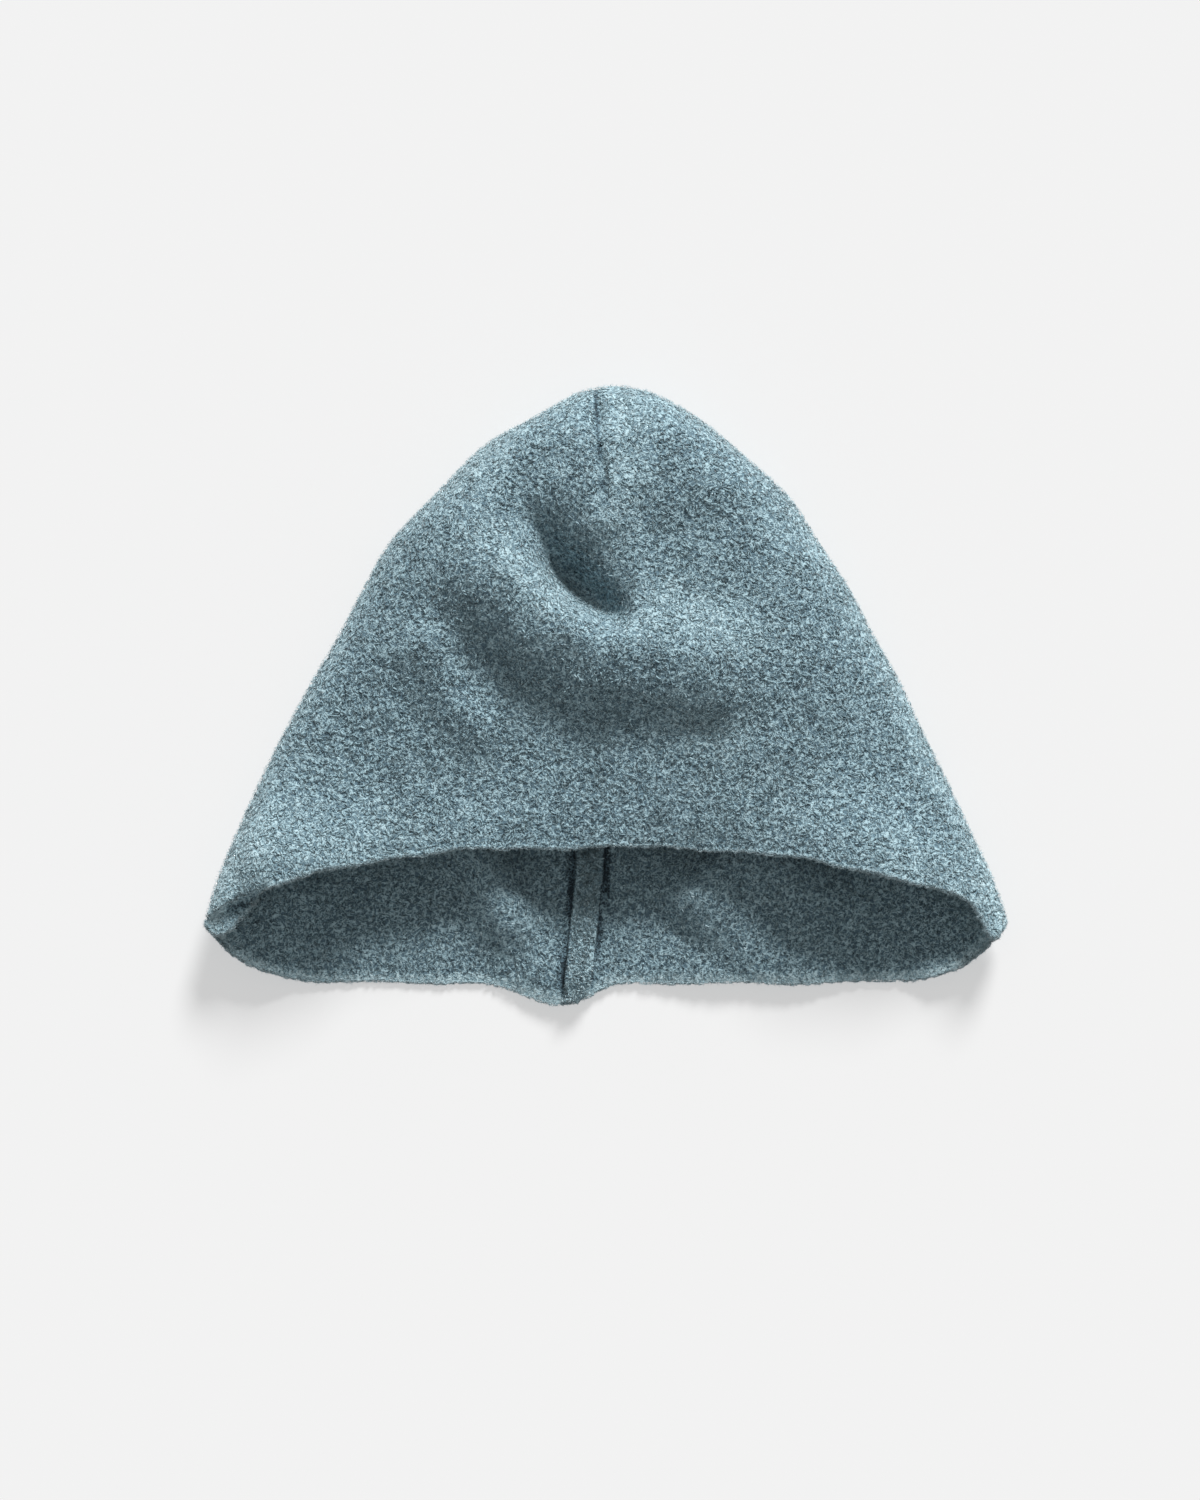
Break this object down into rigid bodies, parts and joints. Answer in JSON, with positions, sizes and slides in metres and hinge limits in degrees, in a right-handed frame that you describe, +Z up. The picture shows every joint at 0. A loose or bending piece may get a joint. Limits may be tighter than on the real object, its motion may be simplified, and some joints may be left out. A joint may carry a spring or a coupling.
{
  "type": "earflap beanie",
  "caption": "Boiled wool bouclé beanie with ear tips, dusty blue, unlined and raw edged, lying on its back with a soft dent in its front.",
  "frame": {"origin": "on the surface that the cap lies on, under the middle of its outline", "axes": "+Y from the rim to the crown, +X towards the ear tip on the right seen from above, +Z up from the back panel to the front panel"},
  "size_m": [0.3009, 0.2328, 0.0417],
  "materials": {
    "boiled_wool": "matte felted boucle"
  },
  "bodies": {
    "root": {"wool_shell": "boiled_wool", "back_seam_allowance": "boiled_wool"}
  },
  "joints": []
}
